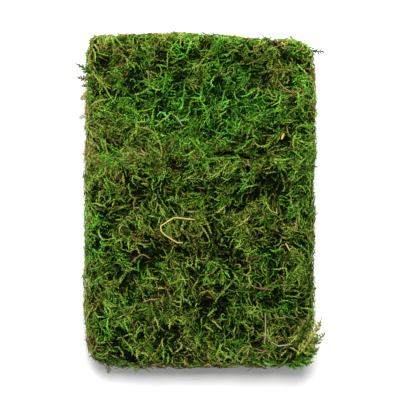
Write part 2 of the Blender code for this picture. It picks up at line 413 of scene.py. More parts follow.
@dataclass
class Tuft:
    """Leaf pairs ready for a mesh: corners (pairs, 4, 3), and tone and light at each (pairs, 4, 2).

    The shifts are what heel, keel, left tip and right tip add to the pair's own tone and light. The light
    shifts paint shade on the heel under the pair and light on the keel and tips, partly the paler leaf
    tips and partly a painted lit side and shaded side, one tip more than the other; the tone shifts make
    the tips differ a little.
    """

    corners: list[Array] = field(default_factory=list)
    shades: list[Array] = field(default_factory=list)
    tone_shift: tuple[float, ...] = (-0.012, 0.006, 0.014, -0.006)
    # painted shade on the heel, painted light on the keel and tips, one tip lit more than the other
    painted_light_shift: tuple[float, ...] = (-0.46, 0.10, 0.18, -0.02)

    def add(self, corners: Array, tone: Array, light: Array) -> None:
        """Adds pairs, with a shade for each corner.

        Args:
            corners: Places, (shoots, steps, 4, 3).
            tone: From 0, dead brown, to 1, vivid green, (shoots, steps).
            light: From 0, dark, to 1, pale: young paleness together with painted shade and light, (shoots,
                steps).
        """
        tones, lights = tone[..., None] + self.tone_shift, light[..., None] + self.painted_light_shift
        shades = np.stack([tones, lights], axis=-1)
        self.corners.append(corners.reshape(-1, 4, 3))
        self.shades.append(np.clip(shades, 0.01, 0.99).reshape(-1, 4, 2))

    def build(self, name: str, material: Material, pair: LeafPair) -> Piece:
        """One mesh of all the pairs.

        Args:
            name: The piece's name.
            material: Its finish.
            pair: Says how four corners make a closed body.

        Returns:
            The piece.
        """
        corners = np.concatenate(self.corners)
        lowest = FLOOR_GAP + LEAF_GAP * np.array([0.0, 2.0, 1.0, 1.0])
        corners[..., 2] = np.maximum(corners[..., 2], lowest)
        shades = np.concatenate(self.shades)
        first = 4 * np.arange(len(corners))[:, None, None]
        faces = (first + np.array(pair.faces)[None]).reshape(-1, 3)
        return mesh_piece(name, corners.reshape(-1, 3), faces, material, shades.reshape(-1, 2))


def mesh_piece(
    name: str, vertices: Array, faces: Array, material: Material, shades: Array | None = None
) -> Piece:
    """A mesh object of triangles, written as whole arrays.

    Args:
        name: The piece's name.
        vertices: Places, (vertices, 3).
        faces: Vertex numbers, (faces, 3).
        material: Its finish.
        shades: Each vertex's place on the leaves' map, or None for no map.

    Returns:
        The object, linked to the scene.
    """
    mesh = bpy.data.meshes.new(name)
    mesh.vertices.add(len(vertices))
    mesh.vertices.foreach_set("co", vertices.astype(np.float32).ravel())
    mesh.loops.add(faces.size)
    mesh.loops.foreach_set("vertex_index", faces.astype(np.int32).ravel())
    mesh.polygons.add(len(faces))
    mesh.polygons.foreach_set("loop_start", 3 * np.arange(len(faces), dtype=np.int32))
    mesh.update(calc_edges=True)
    if shades is not None:
        layer = mesh.uv_layers.new(name=MAP_NAME)
        layer.uv.foreach_set("vector", shades[faces.ravel()].astype(np.float32).ravel())
    mesh.materials.append(material)
    mesh.shade_flat()
    piece = bpy.data.objects.new(name, mesh)
    bpy.context.scene.collection.objects.link(piece)
    return piece


# ---- Where the moss is green, dull or bare ----


@dataclass(frozen=True)
class Patch:
    """A soft-edged ellipse on the top: its middle, its half sizes and what it adds at its middle."""

    x: float
    y: float
    half_x: float
    half_y: float
    tone: float
    light: float = 0.0

    def share(self, points: Array) -> Array:
        """How far inside each place is: exp of minus the squared, scaled distance from the middle."""
        across, down = (points[..., 0] - self.x) / self.half_x, (points[..., 1] - self.y) / self.half_y
        return np.exp(-(across**2 + down**2))


PATCHES = (
    Patch(0.018, 0.075, 0.058, 0.036, 0.36, -0.03),
    Patch(-0.028, 0.070, 0.022, 0.030, 0.14, 0.00),
    Patch(-0.060, 0.100, 0.034, 0.030, 0.02, -0.04),
    Patch(0.080, 0.118, 0.030, 0.020, 0.03, 0.07),
    Patch(-0.062, -0.108, 0.022, 0.020, 0.26, 0.07),
    Patch(-0.086, -0.040, 0.014, 0.024, 0.22, 0.04),
    # painted light along the rim at -X
    Patch(-0.091, 0.030, 0.014, 0.120, -0.05, 0.13),
    # greener, and painted light along the far rim, which faces the key
    Patch(0.000, 0.131, 0.100, 0.010, 0.10, 0.09),
    # painted shade along the foot rim
    Patch(0.000, -0.131, 0.100, 0.010, 0.00, -0.04),
    Patch(0.000, -0.040, 0.110, 0.080, 0.00, -0.025),
    Patch(0.091, -0.030, 0.012, 0.080, 0.00, -0.05),
    Patch(0.084, 0.035, 0.020, 0.050, 0.10, -0.02),
    # painted shadow of the upper mat, just below the crevice
    Patch(0.066, 0.010, 0.030, 0.010, 0.00, -0.10),
    Patch(-0.050, 0.040, 0.030, 0.018, -0.08, -0.02),
    Patch(-0.0144, 0.118, 0.008, 0.010, 0.30, 0.06),
    Patch(-0.0327, 0.0175, 0.010, 0.006, 0.28, 0.07),
    Patch(-0.071, 0.034, 0.010, 0.012, 0.24, 0.04),
    Patch(0.0535, -0.0446, 0.008, 0.008, 0.38, 0.07),
    Patch(0.068, -0.084, 0.008, 0.006, 0.32, 0.04),
    Patch(0.066, -0.099, 0.010, 0.009, 0.00, -0.12),
    Patch(0.050, -0.034, 0.010, 0.006, 0.00, -0.10),
    Patch(-0.086, -0.113, 0.007, 0.007, -0.45, 0.00),
    Patch(-0.0287, -0.070, 0.006, 0.005, -0.38, -0.04),
)


def tone_at(points: Array) -> Array:
    """How green the moss is: a base, plus lumps of two sizes, plus the patches."""
    tone = 0.43 + 0.12 * lumps(points, 0.028, 21) + 0.08 * lumps(points, 0.009, 22)
    return tone + sum(patch.tone * patch.share(points) for patch in PATCHES)


def light_at(points: Array) -> Array:
    """How pale the moss is: a base plus the patches, which also paint light along the far and -X rims and
    shade along the foot rim and under the crevice.
    """
    return 0.565 + sum(patch.light * patch.share(points) for patch in PATCHES)


# ---- Finishes ----


def new_material(name: str) -> tuple[Material, bpy.types.Node]:
    """A material with its nodes on.

    Args:
        name: The material's name.

    Returns:
        The material and its Principled shader.
    """
    material = bpy.data.materials.new(name)
    material.use_nodes = True
    return material, material.node_tree.nodes["Principled BSDF"]


def ramp(material: Material, stops: Stops) -> bpy.types.Node:
    """Adds a colour ramp.

    Args:
        material: What it is added to.
        stops: Places from 0 to 1 with their colours, in order.

    Returns:
        The ramp's node.
    """
    node = material.node_tree.nodes.new("ShaderNodeValToRGB")
    elements = node.color_ramp.elements
    elements[0].position, elements[0].color = stops[0][0], (*stops[0][1], 1.0)
    elements[1].position, elements[1].color = stops[-1][0], (*stops[-1][1], 1.0)
    for place, colour in stops[1:-1]:
        elements.new(place).color = (*colour, 1.0)
    return node


def noise(material: Material, scale: float, detail: float = 2.0) -> bpy.types.Node:
    """Adds noise on Object coordinates.

    Args:
        material: What it is added to.
        scale: About how many lumps there are in a metre.
        detail: How many times finer noise is added to it.

    Returns:
        The noise's node.
    """
    nodes = material.node_tree.nodes
    coords, made = nodes.new("ShaderNodeTexCoord"), nodes.new("ShaderNodeTexNoise")
    made.inputs["Scale"].default_value = scale
    made.inputs["Detail"].default_value = detail
    material.node_tree.links.new(coords.outputs["Object"], made.inputs["Vector"])
    return made


def relief(material: Material, height: bpy.types.Node, depth: float) -> None:
    """Turns a noise into bumps on a material's surface.

    Args:
        material: The material.
        height: The noise's node.
        depth: The bumps' depth in metres.
    """
    nodes, links = material.node_tree.nodes, material.node_tree.links
    bump = nodes.new("ShaderNodeBump")
    bump.inputs["Distance"].default_value = depth
    links.new(height.outputs["Fac"], bump.inputs["Height"])
    links.new(bump.outputs["Normal"], nodes["Principled BSDF"].inputs["Normal"])


@dataclass(frozen=True)
class MossFinish:
    """Leaf colour read from the leaves' own map: tone picks the hue, light goes from painted shade to a
    painted highlight.
    """

    body: Stops = (
        (0.00, (0.112, 0.070, 0.017)),
        (0.14, (0.115, 0.088, 0.018)),
        (0.30, (0.118, 0.136, 0.016)),
        (0.46, (0.098, 0.166, 0.015)),
        (0.66, (0.062, 0.186, 0.010)),
        (0.86, (0.046, 0.196, 0.009)),
        (1.00, (0.040, 0.200, 0.012)),
    )
    # painted light: the dark end is shade deep in the tangle, the pale, bluer end a painted sheen on the
    # leaves
    shade: Stops = (
        (0.00, (0.004, 0.012, 0.004)),
        (0.20, (0.020, 0.045, 0.014)),
        (0.40, (0.20, 0.28, 0.15)),
        (0.60, (1.00, 1.00, 0.95)),
        (0.80, (2.00, 1.75, 2.30)),
        (1.00, (3.40, 2.70, 5.50)),
    )
    roughness: float = 0.52

    def material(self, name: str) -> Material:
        """Body ramp along the tone, times the ramp of painted shade and highlight along the light.

        Args:
            name: The material's name.

        Returns:
            The material.
        """
        made, shader = new_material(name)
        nodes, links = made.node_tree.nodes, made.node_tree.links
        own_map = nodes.new("ShaderNodeUVMap")
        own_map.uv_map = MAP_NAME
        parts = nodes.new("ShaderNodeSeparateXYZ")
        body, shade = ramp(made, self.body), ramp(made, self.shade)
        product = nodes.new("ShaderNodeVectorMath")
        product.operation = "MULTIPLY"
        links.new(own_map.outputs["UV"], parts.inputs[0])
        links.new(parts.outputs["X"], body.inputs[0])
        links.new(parts.outputs["Y"], shade.inputs[0])
        links.new(body.outputs["Color"], product.inputs[0])
        links.new(shade.outputs["Color"], product.inputs[1])
        links.new(product.outputs[0], shader.inputs["Base Color"])
        shader.inputs["Roughness"].default_value = self.roughness
        shader.inputs["Specular IOR Level"].default_value = 0.05
        return made


@dataclass(frozen=True)
class ShadedBedFinish:
    """Old packed stems and soil under the shoots, painted near black for the shade among them, with olive
    and brown flecks.
    """

    # painted shade: the bed is near black so that the gaps between the shoots read as deep shade
    dark: Colour = (0.0025, 0.0035, 0.001)
    fleck: Colour = (0.010, 0.014, 0.003)
    flecks_per_metre: float = 900.0
    relief_depth: float = 0.0006

    def material(self, name: str) -> Material:
        """Noise picks between the dark and the fleck colour, and roughens the surface.

        Args:
            name: The material's name.

        Returns:
            The material.
        """
        made, shader = new_material(name)
        links = made.node_tree.links
        flecks = noise(made, self.flecks_per_metre, 3.0)
        colour = ramp(made, ((0.45, self.dark), (0.75, self.fleck)))
        links.new(flecks.outputs["Fac"], colour.inputs[0])
        links.new(colour.outputs["Color"], shader.inputs["Base Color"])
        relief(made, flecks, self.relief_depth)
        shader.inputs["Roughness"].default_value = 0.9
        shader.inputs["Specular IOR Level"].default_value = 0.0
        return made


@dataclass(frozen=True)
class DryFinish:
    """Dry plant stuff: a base and a stain colour mixed by noise, with a fine grain in relief."""

    base: Colour
    stain: Colour
    roughness: float = 0.6
    stains_per_metre: float = 260.0
    grains_per_metre: float = 2400.0
    grain_depth: float = 0.0001

    def material(self, name: str) -> Material:
        """Coarse noise stains the base colour, and fine noise roughens the surface.

        Args:
            name: The material's name.

        Returns:
            The material.
        """
        made, shader = new_material(name)
        links = made.node_tree.links
        stains = noise(made, self.stains_per_metre, 4.0)
        colour = ramp(made, ((0.35, self.base), (0.68, self.stain)))
        links.new(stains.outputs["Fac"], colour.inputs[0])
        links.new(colour.outputs["Color"], shader.inputs["Base Color"])
        relief(made, noise(made, self.grains_per_metre), self.grain_depth)
        shader.inputs["Roughness"].default_value = self.roughness
        shader.inputs["Specular IOR Level"].default_value = 0.15
        return made


DRY_FINISHES = {
    "straw": DryFinish((0.55, 0.43, 0.13), (0.40, 0.29, 0.08), 0.42),
    "pale_stem": DryFinish((0.36, 0.32, 0.20), (0.21, 0.17, 0.095), 0.6),
    "root": DryFinish((0.27, 0.165, 0.075), (0.12, 0.065, 0.026), 0.65),
    "bark": DryFinish((0.20, 0.100, 0.030), (0.08, 0.042, 0.016), 0.8),
    "needle": DryFinish((0.05, 0.04, 0.03), (0.10, 0.07, 0.045), 0.5),
    "dry_leaf": DryFinish((0.52, 0.38, 0.05), (0.36, 0.24, 0.03), 0.5),
}


# ---- Sub-assemblies ----


@dataclass
class Bed:
    """The body of a mat, near black in painted shade: its skin drawn in along its normals by a depth that
    lumps vary.

    The depth is the inset on top, less on the flanks and least underneath, blended by how the skin faces.
    """

    mat: Mat
    finish: ShadedBedFinish
    inset: float = 0.0075
    flank_inset: float = 0.0034
    unevenness: float = 0.0014
    under_inset: float = 0.0022

    def build(self) -> Piece:
        """Merges the skin's corners, draws them in and smooths the result.

        Returns:
            The bed, which stands for the mat's node.
        """
        loose = self.mat.triangles.reshape(-1, 3)
        _, first, index = np.unique(np.round(loose, 6), axis=0, return_index=True, return_inverse=True)
        places, faces = loose[first], index.reshape(-1, 3)
        normals = np.zeros_like(places)
        weighted = np.repeat(self.mat.normals * self.mat.areas[:, None], 3, axis=0)
        np.add.at(normals, index.ravel(), weighted)
        normals = unit(normals)
        under = eased(-normals[:, 2], 0.6, 0.95)
        above = eased(normals[:, 2], 0.35, 0.85)
        depth = self.flank_inset + (self.inset - self.flank_inset) * above
        depth = depth + self.unevenness * lumps(places, 0.012, 5)
        depth = depth * (1.0 - under) + self.under_inset * under
        drawn = places - normals * depth[:, None]
        drawn[:, 2] = np.maximum(drawn[:, 2], self.under_inset)
        bed = mesh_piece(f"{self.mat.node}_bed", drawn, faces, self.finish.material("painted_shade_bed"))
        smooth = bed.modifiers.new("soft_form", "SUBSURF")
        smooth.levels = 1
        smooth.render_levels = 1
        bed.data.shade_smooth()
        return bed


TONE_SPREAD = 0.14  # how far shoots differ from their neighbours in tone
LIGHT_SPREAD = 0.155  # and in light
BREADTHS = (0.72, 1.28)  # the narrowest and the broadest, as shares of a shoot's usual width
DEAD_TONE = 0.6  # how much browner a dead shoot is


@dataclass
class Nature:
    """What sets each shoot apart: its shift in tone, its shift in light and its breadth."""

    tone: Array
    light: Array
    breadth: Array

    @classmethod
    def drawn(cls, count: int, rng: Random, dead: float) -> "Nature":
        """Draws the natures of many shoots.

        Args:
            count: How many.
            rng: Source of random numbers.
            dead: Share of them that are dead and brown.

        Returns:
            The natures, with a column for each shift.
        """
        tone = rng.normal(0.0, TONE_SPREAD, (count, 1)) - DEAD_TONE * (rng.random((count, 1)) < dead)
        light = rng.normal(0.0, LIGHT_SPREAD, (count, 1))
        return cls(tone, light, rng.uniform(*BREADTHS, (count, 1)))

    def passed_on(self, times: int, rng: Random) -> "Nature":
        """The nature of each shoot's own branches: a little shifted again, more usual in light, narrower.

        Args:
            times: How many branches each shoot has.
            rng: Source of random numbers.

        Returns:
            One nature for each branch, shoot by shoot.
        """
        count = len(self.tone) * times
        tone = np.repeat(self.tone, times, axis=0) + rng.normal(0.0, 0.05, (count, 1))
        light = 0.7 * np.repeat(self.light, times, axis=0) + rng.normal(0.0, 0.08, (count, 1))
        breadth = np.repeat(self.breadth, times, axis=0) * rng.uniform(0.70, 0.95, (count, 1))
        return Nature(tone, light, breadth)


@dataclass
class Tangle:
    """The shoots on one side of one mat: single curling cords and feathered fronds.

    Lengths and depths are in metres, depths are counted outwards from the skin, and a pair of numbers is
    the least and the most. Dulling shifts the tone; painted rim light and painted shade of deep shoots
    shift the light.
    """

    name: str
    mat: Mat
    guide: Skin
    wanted: Array
    seed: int
    cords: int = 0
    fronds: int = 0
    cord_steps: int = 12
    cord_length: tuple[float, float] = (0.008, 0.021)
    stem_steps: int = 14
    stem_length: tuple[float, float] = (0.016, 0.028)
    branch_steps: int = 5
    branch_length: tuple[float, float] = (0.0045, 0.0078)
    half_width: float = 0.00086
    sway: float = 0.15
    hooked: float = 0.3
    splay: tuple[float, float] = (0.75, 1.15)
    frond_turn: float = 55.0
    deepest: float = -0.0072
    shallowest: float = 0.0002
    dulling: float = 0.0
    dead: float = 0.03
    crowding: float = 0.85
    proud: float = 0.08
    clump: float = 0.0
    # painted light on shoots that face sideways
    painted_rim_light: float = 0.08
    # painted shade of deep shoots, and the depths over which it fades
    painted_depth_shade: float = 0.54
    painted_shade_depths: tuple[float, float] = (-0.0054, 0.0001)
    tip_light: float = 0.16
    tip_green: float = 0.05
    pair: LeafPair = LeafPair()

    def headings(self, places: Array, normals: Array, rng: Random) -> Array:
        """Ways to set out: neighbours agree roughly, by lumps that turn them 1.6 half turns either way.

        In the greenest patch most are combed: 35 degrees from across, and 50 degrees the other way near
        the rim at +X, with some turned end for end.

        Args:
            places: Roots.
            normals: The skin's normals there.
            rng: Source of random numbers.

        Returns:
            Unit vectors along the skin.
        """
        across = unit(np.cross(normals, [0.0, 1.0, 0.02]))
        angle = math.pi * 1.6 * lumps(places, 0.024, 31) + rng.normal(0.0, 0.55, len(places))
        green = 1.2 * PATCHES[0].share(places) * (normals[:, 2] > 0.4)
        combed = rng.normal(0.0, 0.38, len(places)) + math.pi * (rng.random(len(places)) < 0.3)
        combed = combed + np.radians(35.0 - 85.0 * eased(places[:, 0], 0.030, 0.075))
        angle = np.where(rng.random(len(places)) < green, combed, angle)
        return turned(across, normals, angle)

    def depths(self, steps: int, count: int, rng: Random) -> Array:
        """Depths to aim for: from a deep root up to the shoot's own level, and up or down at the tip.

        The golden share spreads the levels, so that neighbours always differ and no place stays bare. A
        root lies 0.5 to 3 mm below the level, and the tips of the proud ones end 1 to 4.2 mm above it.

        Args:
            steps: Steps of a shoot.
            count: How many shoots.
            rng: Source of random numbers.

        Returns:
            Distances outside the skin, (count, steps).
        """
        along = np.linspace(0.0, 1.0, steps)[None, :]
        share = (np.arange(count)[:, None] * GOLDEN + rng.uniform(0.0, 0.2, (count, 1))) % 1.0
        level = self.deepest + (self.shallowest - self.deepest) * share**self.crowding
        root = level - rng.uniform(0.0005, 0.0030, (count, 1))
        dive = rng.normal(0.0, 0.0009, (count, 1))
        dive = dive + rng.uniform(0.001, 0.0042, (count, 1)) * (rng.random((count, 1)) < self.proud)
        return root + (level - root) * eased(along, 0.0, 0.35) + dive * eased(along, 0.6, 1.0)

    def shades(self, walk: Walk, nature: Nature, rng: Random) -> tuple[Array, Array]:
        """Tone and light of each pair: the mat's own at its place, plus what sets each shoot apart.

        Tips are greener and lighter than roots, rims get painted light, and what lies deep gets painted
        shade.

        Args:
            walk: The centrelines.
            nature: The shoots' own shifts.
            rng: Source of random numbers.

        Returns:
            Tone and light, each (shoots, steps).
        """
        count, steps = walk.places.shape[:2]
        tone = tone_at(walk.places) + nature.tone - self.dulling
        tone = tone + self.tip_green * (walk.along() - 0.5) + rng.normal(0.0, 0.05, (count, steps))
        light = light_at(walk.places) + nature.light + self.tip_light * (walk.along() - 0.5)
        outside, normal = self.guide.read(walk.places)
        # painted light: shoots on the flanks, which the lamps light less, are made paler
        light = light + self.painted_rim_light * (1.0 - eased(normal[..., 2], 0.2, 0.9))
        # painted shade: shoots lying deep in the tangle are darkened in colour
        light = light - self.painted_depth_shade * (1.0 - eased(outside, *self.painted_shade_depths))
        return tone, light + rng.normal(0.0, 0.10, (count, steps))

    def grow(self, tuft: Tuft, walk: Walk, nature: Nature, rng: Random) -> None:
        """Puts leaf pairs on a walk and adds them to the tuft.

        A shoot is half as wide at its root, full from a quarter on, and narrow again at its tip.

        Args:
            tuft: What they are added to.
            walk: The centrelines.
            nature: The shoots' own shifts.
            rng: Source of random numbers.
        """
        count, steps = walk.places.shape[:2]
        along = walk.along()
        taper = np.minimum(1.0, 0.5 + 2.2 * along) * (1.0 - 0.62 * along**3)
        roll = rng.normal(0.0, 0.45, (count, 1)) + rng.normal(0.0, 0.12, (count, steps))
        corners = self.pair.corners(walk, self.half_width * nature.breadth * taper, roll, rng)
        tone, light = self.shades(walk, nature, rng)
        tuft.add(corners, tone, light)

    def roots(self, count: int, rng: Random) -> tuple[Array, Array]:
        """Places for this many shoots on the wanted triangles, and the skin's normals there."""
        return self.mat.scatter(count, rng, self.wanted)

    def cord_tuft(self, rng: Random) -> Tuft:
        """Single shoots: each turns steadily with a slight sway, and some curl hard towards the tip.

        Args:
            rng: Source of random numbers.

        Returns:
            Their leaf pairs.
        """
        places, normals = self.roots(self.cords, rng)
        length = rng.uniform(*self.cord_length, self.cords)
        step = length / self.cord_steps
        along = np.linspace(0.0, 1.0, self.cord_steps)[None, :]
        curl = rng.normal(0.0, 1.0, (self.cords, 1)) / self.cord_steps
        hook = rng.normal(0.0, 3.0, (self.cords, 1)) * (rng.random((self.cords, 1)) < self.hooked)
        sway = along * rng.uniform(4.0, 13.0, (self.cords, 1)) + rng.uniform(0, 6.3, (self.cords, 1))
        turns = curl + hook * along**2 * 2.0 / self.cord_steps + self.sway * np.sin(sway)
        depths = self.depths(self.cord_steps, self.cords, rng)
        start = places + normals * depths[:, :1]
        depths = depths + self.clump * lumps(places, 0.0085, 41)[:, None]
        tuft = Tuft()
        walk = creep(self.guide, start, self.headings(places, normals, rng), step, turns, depths)
        self.grow(tuft, walk, Nature.drawn(self.cords, rng, self.dead), rng)
        return tuft

    def frond_tuft(self, rng: Random) -> Tuft:
        """Feathered shoots: a stem with side branches by turns left and right, longest low on the stem.

        Args:
            rng: Source of random numbers.

        Returns:
            Their leaf pairs.
        """
        places, normals = self.roots(self.fronds, rng)
        length = rng.uniform(*self.stem_length, self.fronds)
        step = length / self.stem_steps
        sway = rng.normal(0.0, 0.05, (self.fronds, self.stem_steps))
        sway = sway + rng.normal(0.0, 0.04, (self.fronds, 1))
        depths = self.depths(self.stem_steps, self.fronds, rng)
        start = places + normals * depths[:, :1]
        heading = self.headings(places, normals, rng)
        heading = turned(heading, normals, np.full(self.fronds, math.radians(self.frond_turn)))
        stem = creep(self.guide, start, heading, step, sway, depths)
        tuft = Tuft()
        nature = Nature.drawn(self.fronds, rng, 0.2 * self.dead)
        nature.light *= 0.5
        self.grow_frond(tuft, stem, depths, nature, rng)
        return tuft

    def grow_frond(self, tuft: Tuft, stem: Walk, depths: Array, nature: Nature, rng: Random) -> None:
        """Puts leaf pairs on stems, and then on the branches that share their nature.

        Args:
            tuft: What they are added to.
            stem: The stems.
            depths: The stems' depths.
            nature: The stems' own shifts.
            rng: Source of random numbers.
        """
        self.grow(tuft, stem, nature, rng)
        branches = self.branches(stem, depths, rng)
        self.grow(tuft, branches, nature.passed_on(self.stem_steps - 2, rng), rng)

    def branches(self, stem: Walk, depths: Array, rng: Random) -> Walk:
        """Side branches of stems, left and right by turns, which bend back towards the stem's tip.

        A length is the branch length times the 0.6th power of the share of the stem still ahead, and
        less near the root.

        Args:
            stem: The stems.
            depths: The stems' depths.
            rng: Source of random numbers.

        Returns:
            The branches' walk.
        """
        nodes = np.arange(2, self.stem_steps)
        along = nodes / (self.stem_steps - 1.0)
        side = np.where(nodes % 2 == 0, 1.0, -1.0)
        count = stem.places.shape[0] * len(nodes)
        length = rng.uniform(*self.branch_length, (stem.places.shape[0], 1))
        length = length * (1.0 - along) ** 0.6 * np.minimum(1.0, 0.45 + 3.0 * along)
        length = (length * rng.uniform(0.7, 1.2, length.shape) + 0.0012).ravel()
        splay = (side * rng.uniform(*self.splay, (stem.places.shape[0], len(nodes)))).ravel()
        start = stem.places[:, nodes].reshape(-1, 3)
        up = stem.up[:, nodes].reshape(-1, 3)
        heading = turned(stem.forward[:, nodes].reshape(-1, 3), up, splay)
        bend = -np.sign(splay)[:, None] * rng.uniform(-0.02, 0.16, (count, 1))
        turns = bend + rng.normal(0.0, 0.06, (count, self.branch_steps))
        level = depths[:, nodes].reshape(-1, 1) + rng.normal(0.0, 0.0004, (count, 1))
        droop = rng.normal(-0.0002, 0.0006, (count, 1)) * np.linspace(0.0, 1.0, self.branch_steps)[None, :]
        return creep(self.guide, start, heading, length / self.branch_steps, turns, level + droop)

    def build(self, material: Material) -> list[Piece]:
        """Makes the pieces of this side: its cords and its fronds.

        Args:
            material: Their finish.

        Returns:
            The pieces.
        """
        rng = np.random.default_rng(self.seed)
        pieces = []
        if self.cords:
            pieces.append(self.cord_tuft(rng).build(f"{self.name}_cords", material, self.pair))
        if self.fronds:
            pieces.append(self.frond_tuft(rng).build(f"{self.name}_fronds", material, self.pair))
        return pieces


@dataclass
class Thread(Tangle):
    """Bare, dry rootlets and stalks, tan or brown, that lie among the top shoots."""

    cord_length: tuple[float, float] = (0.007, 0.022)
    half_width: float = 0.00024
    deepest: float = -0.0026
    shallowest: float = 0.0008
    dead: float = 1.0
    pair: LeafPair = LeafPair(reach=1.15, keel_at=0.5, keel_height=0.8, lopsided=0.0)


@dataclass
class LipTangle(Tangle):
    """Shoots that hang over the lips of the crevice and hide it on some spans across the brick."""

    toward: float = -1.0
    spans: tuple[tuple[float, float], ...] = ((-1.0, 1.0),)
    surplus: int = 14

    def roots(self, count: int, rng: Random) -> tuple[Array, Array]:
        """Draws a surplus of places and keeps some of those that lie on the spans.

        Args:
            count: How many to keep.
            rng: Source of random numbers.

        Returns:
            Places and the skin's normals there.
        """
        places, normals = self.mat.scatter(self.surplus * count, rng, self.wanted)
        x = places[:, 0]
        inside = np.any([(x > start) & (x < end) for start, end in self.spans], axis=0)
        kept = rng.permutation(np.flatnonzero(inside))[:count]
        return places[kept], normals[kept]

    def headings(self, places: Array, normals: Array, rng: Random) -> Array:
        """Ways to set out: roughly towards the other mat, along Y."""
        way = np.array([0.0, self.toward, 0.0])
        return turned(unit(way - normals * dot(way, normals)), normals, rng.normal(0.0, 0.6, len(places)))


@dataclass(frozen=True)
class Stray:
    """A shoot at a place of its own: its root, its way out in degrees from +X, its length, how many
    degrees it bends to the left on its way, and what it adds to the tone.
    """

    x: float
    y: float
    height: float
    degrees: float
    length: float
    bend: float = 0.0
    tone: float = 0.0

    def root(self) -> Array:
        """Where it starts, (1, 3)."""
        return np.array([[self.x, self.y, self.height]])

    def heading(self) -> Array:
        """The way it sets out, level, (1, 3)."""
        angle = math.radians(self.degrees)
        return np.array([[math.cos(angle), math.sin(angle), 0.0]])

    def turns(self, steps: int, unsteady: float, rng: Random) -> Array:
        """Radians turned at each step, (1, steps): the bend shared out, a little unsteadily."""
        return rng.normal(math.radians(self.bend) / steps, unsteady, (1, steps))


@dataclass
class StrayFronds(Tangle):
    """The few fronds that stand out past the brick, each level in the air.

    Those shorter than the full length are narrower in proportion.
    """

    rows: tuple[Stray, ...] = ()
    stem_steps: int = 20
    half_width: float = 0.00125
    full_length: float = 0.025
    branch_shares: tuple[float, float] = (0.15, 0.22)
    darker: float = 0.08
    pair: LeafPair = LeafPair(reach=2.3, keel_at=1.0)

    def build(self, material: Material) -> list[Piece]:
        """Makes one piece of all the rows: stems with short branches.

        Args:
            material: Their finish.

        Returns:
            The one piece, in a list.
        """
        rng = np.random.default_rng(self.seed)
        tuft = Tuft()
        for stray in self.rows:
            self.guide = Level(stray.height)
            turns = stray.turns(self.stem_steps, 0.05, rng)
            depths = rng.normal(0.0, 0.0004, (1, self.stem_steps))
            step = np.array([stray.length / self.stem_steps])
            stem = creep(self.guide, stray.root(), stray.heading(), step, turns, depths)
            nature = Nature.drawn(1, rng, 0.0)
            nature.tone += stray.tone
            nature.light -= self.darker
            nature.breadth *= min(1.0, stray.length / self.full_length)
            self.branch_length = tuple(share * stray.length for share in self.branch_shares)
            self.grow_frond(tuft, stem, depths, nature, rng)
        return [tuft.build(self.name, material, self.pair)]


STRAYS = (
    Stray(0.0770, 0.1235, 0.040, -2.0, 0.0240, 4.0, 0.10),
    Stray(0.0800, 0.1220, 0.038, 130.0, 0.0130, -10.0, 0.10),
    Stray(0.0760, 0.1190, 0.036, -40.0, 0.0170, -20.0),
    Stray(-0.0700, 0.1190, 0.038, 140.0, 0.0210, -6.0, -0.25),
    Stray(-0.0710, 0.0870, 0.044, 141.0, 0.0350, 14.0, 0.0),
    Stray(-0.0800, 0.0930, 0.042, 132.0, 0.0240, -16.0, 0.05),
    Stray(-0.0790, 0.0965, 0.040, 174.0, 0.0190, 14.0, -0.05),
    Stray(-0.0800, 0.0930, 0.038, 184.0, 0.0150, 18.0, -0.05),
    Stray(-0.0830, 0.0920, 0.036, 220.0, 0.0170, 24.0, 0.0),
    Stray(-0.0850, 0.1060, 0.034, 114.0, 0.0150, 10.0, 0.0),
    Stray(-0.0840, 0.0700, 0.032, 200.0, 0.0140, 14.0),
    Stray(-0.0860, 0.0500, 0.032, 124.0, 0.0150, 10.0),
    Stray(-0.0860, 0.0150, 0.030, 140.0, 0.0100, 20.0, -0.2),
    Stray(-0.0860, 0.0090, 0.030, 232.0, 0.0120, 16.0, 0.1),
    Stray(0.0770, -0.1245, 0.047, 34.0, 0.0350, 40.0, 0.12),
    Stray(0.0790, -0.1240, 0.045, 30.0, 0.0280, 30.0, 0.24),
    Stray(0.0750, -0.1280, 0.046, 20.0, 0.0270, 46.0, 0.05),
    Stray(0.0720, -0.1290, 0.042, -4.0, 0.0260, 46.0, 0.08),
    Stray(0.0680, -0.1300, 0.038, -10.0, 0.0220, 26.0, 0.10),
    Stray(0.0650, -0.1300, 0.036, -14.0, 0.0180, 10.0, 0.05),
    Stray(0.0770, -0.1180, 0.048, 70.0, 0.0260, 26.0, 0.22),
    Stray(0.0800, -0.1160, 0.044, 58.0, 0.0180, 10.0, 0.40),
    Stray(-0.0740, -0.1270, 0.022, 268.0, 0.0125, 12.0),
    Stray(-0.0520, -0.1280, 0.024, 286.0, 0.0110, -20.0),
    Stray(-0.0820, -0.0600, 0.028, 190.0, 0.0130, -18.0),
    Stray(0.0870, 0.0950, 0.032, 40.0, 0.0100, 20.0, 0.1),
    Stray(0.0860, 0.0280, 0.030, -60.0, 0.0130, -24.0, 0.0),
    Stray(0.0860, -0.0460, 0.036, 60.0, 0.0160, 14.0, 0.05),
    Stray(0.0850, -0.0640, 0.032, 50.0, 0.0150, 30.0, 0.0),
    Stray(0.0850, -0.0800, 0.030, 70.0, 0.0130, -40.0, -0.1),
)


